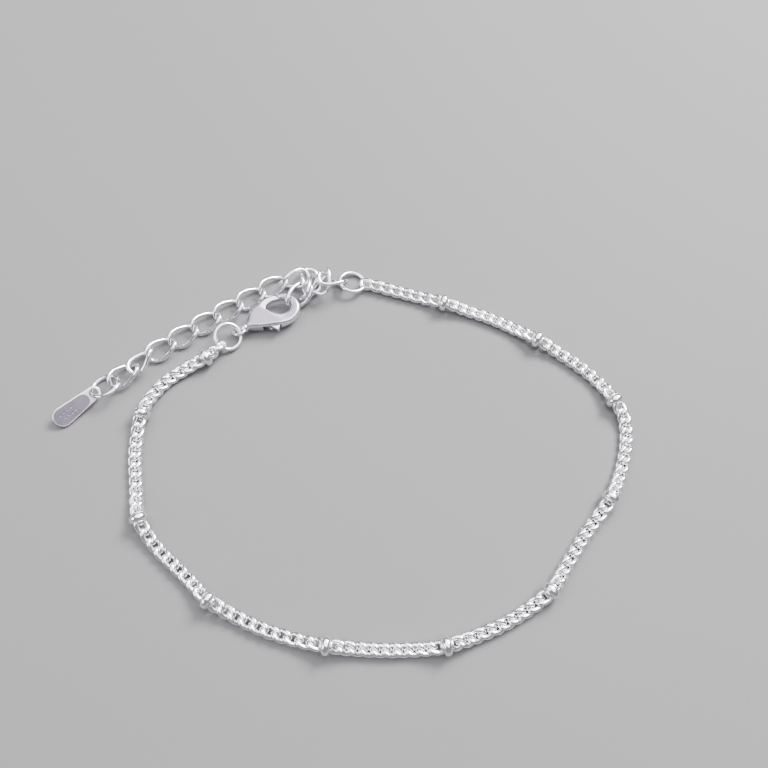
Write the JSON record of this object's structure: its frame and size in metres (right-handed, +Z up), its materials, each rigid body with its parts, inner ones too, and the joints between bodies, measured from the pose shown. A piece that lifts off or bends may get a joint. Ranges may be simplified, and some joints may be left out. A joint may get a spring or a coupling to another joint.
{
  "type": "chain bracelet",
  "caption": "Fine curb-chain bracelet spaced with saucer beads, closed by a lobster clasp hooked into a curb-link extender that ends in a drop-shaped tag.",
  "frame": {"origin": "on the surface that the bracelet lies on, under the middle of its bounding box", "axes": "+Z up from the surface; +Y towards the clasp's side of the loop; +X to the right, with the tag at the far -X end"},
  "size_m": [0.082, 0.057, 0.0038],
  "materials": {
    "chain_silver": "bright rhodium-plated silver curb links",
    "bead_silver": "polished silver with faint polishing lines round the rim",
    "wire_silver": "bright drawn silver wire",
    "clasp_silver": "polished cast silver, slightly brushed on its flat faces",
    "lever_silver": "polished silver strip",
    "tag_satin": "satin silver sheet with a brighter edge"
  },
  "bodies": {
    "bracelet": {"chain_run_01": "chain_silver", "chain_run_02": "chain_silver", "chain_run_03": "chain_silver", "chain_run_04": "chain_silver", "chain_run_05": "chain_silver", "chain_run_06": "chain_silver", "chain_run_07": "chain_silver", "chain_run_08": "chain_silver", "chain_run_09": "chain_silver", "chain_run_10": "chain_silver", "chain_run_11": "chain_silver", "chain_run_12": "chain_silver", "bead_01": "bead_silver", "bead_02": "bead_silver", "bead_03": "bead_silver", "bead_04": "bead_silver", "bead_05": "bead_silver", "bead_06": "bead_silver", "bead_07": "bead_silver", "bead_08": "bead_silver", "bead_09": "bead_silver", "bead_10": "bead_silver", "bead_11": "bead_silver", "ring_extender": "wire_silver", "ring_clasp": "wire_silver", "ring_tag": "wire_silver", "extender_link_01": "wire_silver", "extender_link_02": "wire_silver", "extender_link_03": "wire_silver", "extender_link_04": "wire_silver", "extender_link_05": "wire_silver", "extender_link_06": "wire_silver", "extender_link_07": "wire_silver", "extender_link_08": "wire_silver", "extender_link_09": "wire_silver", "extender_link_10": "wire_silver", "extender_link_11": "wire_silver", "extender_link_12": "wire_silver", "extender_link_13": "wire_silver", "extender_link_14": "wire_silver", "clasp_body": "clasp_silver", "tag": "tag_satin"},
    "lever": {"clasp_lever": "lever_silver"}
  },
  "joints": [
    {"name": "lever_hinge", "type": "hinge", "parent": "bracelet", "child": "lever", "pos_m": [-0.01294, 0.01916, 0.00124], "axis": [0.0462, 0.0246, -0.9986], "range_deg": [0, 24], "stiffness_Nm_per_rad": 0.002, "springref_deg": -28.65}
  ]
}
